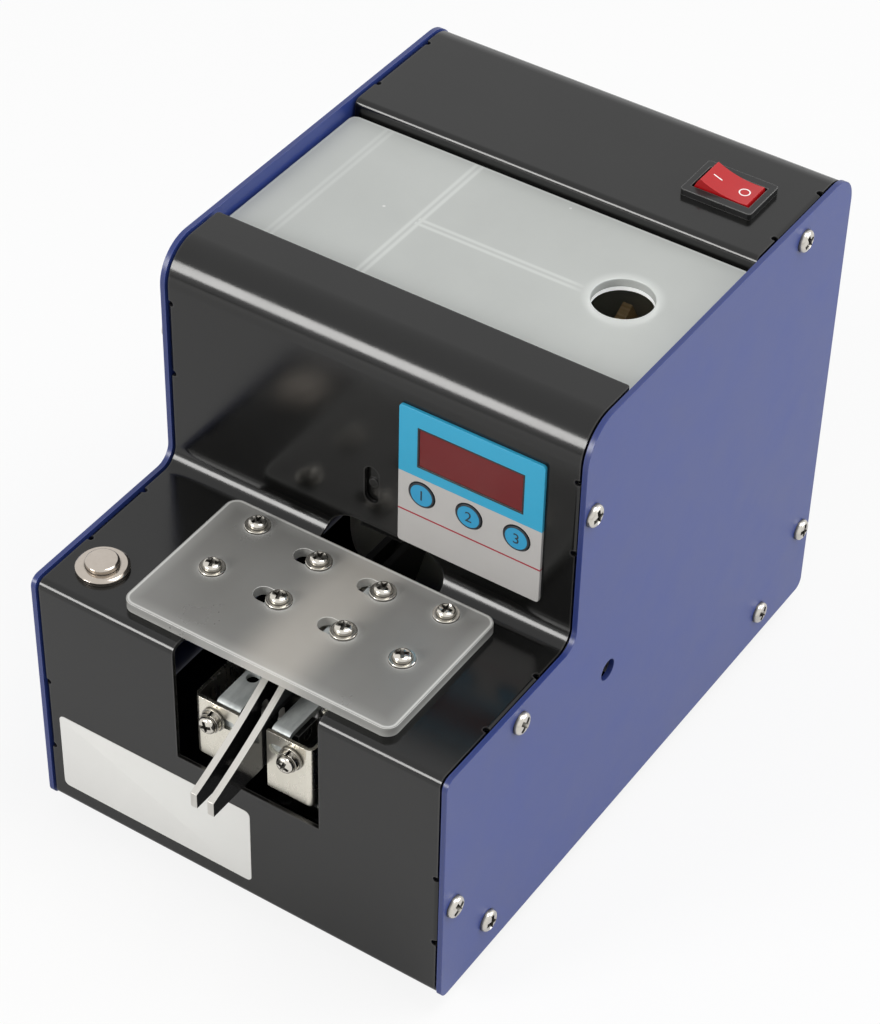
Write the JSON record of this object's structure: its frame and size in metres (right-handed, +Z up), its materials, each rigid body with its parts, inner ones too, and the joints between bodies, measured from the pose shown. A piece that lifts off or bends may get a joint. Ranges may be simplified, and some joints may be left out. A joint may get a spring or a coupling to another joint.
{
  "type": "screw counting machine",
  "caption": "Tabletop screw counter: stepped sheet-metal case with hopper lid, scoop wheels, vibrating twin rails with an optical counter, control panel, push button and rocker switch.",
  "frame": {"origin": "centre of the footprint of the whole machine at the bottom of its rubber feet", "axes": "+Z up; +Y from the rail tips at the front to the back; +X to the user's right"},
  "size_m": [0.1342, 0.2138, 0.161],
  "materials": {
    "black_coat": "semi-gloss black powder coat",
    "blue_paint": "satin blue powder coat",
    "screw_nickel": "bright nickel plate",
    "bracket_nickel": "nickel plate",
    "zinc": "blue-white zinc plate",
    "steel": "bare steel",
    "rail_black": "blackened, with bright ground edges",
    "frosted_acrylic": "frosted clear acrylic",
    "bakelite": "tan phenolic board",
    "black_plastic": "moulded black plastic",
    "red_plastic": "translucent red plastic",
    "red_window": "dark red filter",
    "overlay_print": "printed polyester film",
    "key_blue": "printed polyester film",
    "wheel_nylon": "dark nylon",
    "motor_alloy": "die-cast alloy",
    "carrier_alloy": "milled alloy",
    "copper_coil": "enamelled copper winding",
    "brass": "turned brass",
    "core_steel": "laminated steel",
    "rubber": "black rubber",
    "circuit_board": "green circuit board"
  },
  "bodies": {
    "chassis": {"side_panel_left": "blue_paint", "side_panel_right": "blue_paint", "front_cover": "black_coat", "rear_cover": "black_coat", "base_plate": "black_coat", "hopper_trough": "black_coat", "hopper_end_left": "black_coat", "hopper_end_right": "black_coat", "side_tray": "black_coat", "bracket_posts": "black_coat", "side_screws": "screw_nickel", "rail_cover_screws": "screw_nickel", "bracket_screws": "screw_nickel", "spring_washers": "screw_nickel", "push_button": "screw_nickel", "sensor_brackets": "bracket_nickel", "sensor_holders": "zinc", "motor_can": "steel", "motor_screws": "steel", "leaf_spring_front": "steel", "leaf_spring_rear": "steel", "clamps_lower": "steel", "hopper_baffle": "frosted_acrylic", "rail_cover": "frosted_acrylic", "bearing_board": "bakelite", "slope_board": "bakelite", "rocker_switch": "black_plastic", "power_inlet": "black_plastic", "display_module": "black_plastic", "light_sensors": "black_plastic", "display_window": "red_window", "control_overlay": "overlay_print", "gear_motor": "motor_alloy", "magnet_coil": "copper_coil", "shaft_bush": "brass", "magnet_core": "core_steel", "vibrator_base": "core_steel", "rubber_feet": "rubber", "rubber_mounts": "rubber", "control_board": "circuit_board"},
    "lid": {"hopper_lid": "frosted_acrylic"},
    "rocker": {"rocker": "red_plastic"},
    "button": {"button_cap": "screw_nickel"},
    "key_left": {"key_left": "key_blue"},
    "key_middle": {"key_middle": "key_blue"},
    "key_right": {"key_right": "key_blue"},
    "scoop_wheels": {"scoop_wheel_left": "wheel_nylon", "scoop_wheel_right": "wheel_nylon", "wheel_shaft": "steel"},
    "rails": {"rail_left": "rail_black", "rail_right": "rail_black", "rail_carrier": "carrier_alloy", "rail_bolts": "steel", "clamps_upper": "steel", "armature": "core_steel"},
    "gate": {"height_gate": "black_coat"},
    "guide_left": {"head_guide_left": "zinc", "guide_screws_left": "screw_nickel"},
    "guide_right": {"head_guide_right": "zinc", "guide_screws_right": "screw_nickel"}
  },
  "joints": [
    {"name": "lid_lift", "type": "slide", "parent": "chassis", "child": "lid", "axis": [0, 0, 1], "range_m": [0, 0.045]},
    {"name": "power_rocker", "type": "hinge", "parent": "chassis", "child": "rocker", "pos_m": [0.0426, 0.07715, 0.1556], "axis": [0, 1, 0], "range_deg": [-20, 0]},
    {"name": "count_button", "type": "slide", "parent": "chassis", "child": "button", "axis": [0, 0, -1], "range_m": [0, 0.0018], "stiffness_N_per_m": 300, "springref_m": -0.004},
    {"name": "key_left_press", "type": "slide", "parent": "chassis", "child": "key_left", "axis": [0, 1, 0], "range_m": [0, 0.0004], "stiffness_N_per_m": 500, "springref_m": -0.001},
    {"name": "key_middle_press", "type": "slide", "parent": "chassis", "child": "key_middle", "axis": [0, 1, 0], "range_m": [0, 0.0004], "stiffness_N_per_m": 500, "springref_m": -0.001},
    {"name": "key_right_press", "type": "slide", "parent": "chassis", "child": "key_right", "axis": [0, 1, 0], "range_m": [0, 0.0004], "stiffness_N_per_m": 500, "springref_m": -0.001},
    {"name": "scoop_wheel_spin", "type": "hinge", "parent": "chassis", "child": "scoop_wheels", "pos_m": [0, 0.02355, 0.07], "axis": [1, 0, 0], "continuous": true},
    {"name": "rail_vibration", "type": "slide", "parent": "chassis", "child": "rails", "axis": [0, 1, 0], "range_m": [-0.0004, 0.0004], "stiffness_N_per_m": 4000, "deforming": ["leaf_spring_front", "leaf_spring_rear"]},
    {"name": "gate_height", "type": "slide", "parent": "chassis", "child": "gate", "axis": [0, 0, 1], "range_m": [-0.0034, 0.0034]},
    {"name": "guide_left_adjust", "type": "slide", "parent": "chassis", "child": "guide_left", "axis": [1, 0, 0], "range_m": [-0.005, 0]},
    {"name": "guide_right_adjust", "type": "slide", "parent": "chassis", "child": "guide_right", "axis": [1, 0, 0], "range_m": [-0.005, 0]}
  ]
}
